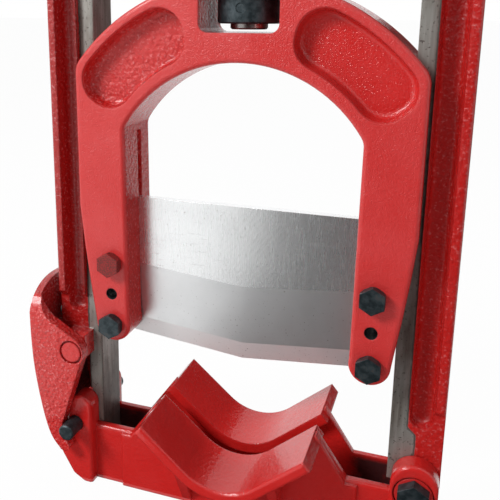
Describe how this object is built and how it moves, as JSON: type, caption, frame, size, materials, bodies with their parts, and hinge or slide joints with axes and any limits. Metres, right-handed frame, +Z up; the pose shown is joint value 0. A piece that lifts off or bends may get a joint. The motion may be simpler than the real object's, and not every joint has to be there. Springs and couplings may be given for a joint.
{
  "type": "pipe guillotine cutter",
  "caption": "Guillotine cutter for plastic pipe: a screw drives a bladed yoke down two rails into a hinged V cradle held by a latch.",
  "frame": {"origin": "middle of the underside of the closed base jaw, midway between the rails and in the blade's plane", "axes": "+X across the rails towards the hinge, +Y from the front to the back, +Z up along the feed screw"},
  "size_m": [0.296, 0.09, 0.5415],
  "materials": {
    "red_paint": "glossy over sand-cast texture",
    "ground_steel": "ground",
    "turned_steel": "turned, lightly oiled",
    "black_steel": "black oxide",
    "zinc_steel": "bright zinc",
    "spring_steel": "drawn wire",
    "bronze": "turned bronze"
  },
  "bodies": {
    "frame": {"frame_casting": "red_paint", "feed_nut": "bronze", "nut_lock_screw": "black_steel", "grease_nipple": "zinc_steel", "hinge_bush": "bronze", "latch_pivot_pin": "red_paint", "latch_pin_clip": "zinc_steel", "latch_spring": "spring_steel"},
    "yoke": {"yoke_casting": "red_paint", "blade": "ground_steel", "blade_bolts": "black_steel", "thrust_washer": "bronze"},
    "screw": {"feed_screw": "turned_steel", "retaining_collar": "black_steel", "collar_pin": "turned_steel", "handle_hub": "black_steel", "hub_pin": "turned_steel", "bar_plunger": "black_steel"},
    "bar": {"tommy_bar": "turned_steel", "bar_knob_left": "black_steel", "bar_knob_right": "black_steel"},
    "base": {"base_jaw": "red_paint", "hinge_bolt": "black_steel", "hinge_washers": "zinc_steel", "hinge_nut": "black_steel", "catch_pin": "black_steel"},
    "latch": {"latch": "red_paint"}
  },
  "joints": [
    {"name": "yoke_slide", "type": "slide", "parent": "frame", "child": "yoke", "axis": [0, 0, 1], "range_m": [-0.061, 0.066]},
    {"name": "feed_screw_spin", "type": "hinge", "parent": "yoke", "child": "screw", "pos_m": [0, 0, 0.33], "axis": [0, 0, 1], "range_deg": [-4420, 4780]},
    {"name": "bar_slide", "type": "slide", "parent": "screw", "child": "bar", "axis": [1, 0, 0], "range_m": [-0.1095, 0.1095]},
    {"name": "base_swing", "type": "hinge", "parent": "frame", "child": "base", "pos_m": [0.1025, 0, 0.042], "axis": [0, 1, 0], "range_deg": [-100, 0]},
    {"name": "latch_pivot", "type": "hinge", "parent": "frame", "child": "latch", "pos_m": [-0.099, 0, 0.0925], "axis": [0, 1, 0], "range_deg": [0, 7.5], "stiffness_Nm_per_rad": 0.8, "springref_deg": -11.46, "deforming": ["latch_spring"]}
  ],
  "couplings": [
    {"joint": "feed_screw_spin", "follows": "yoke_slide", "rad_per_m": 1256.6}
  ]
}
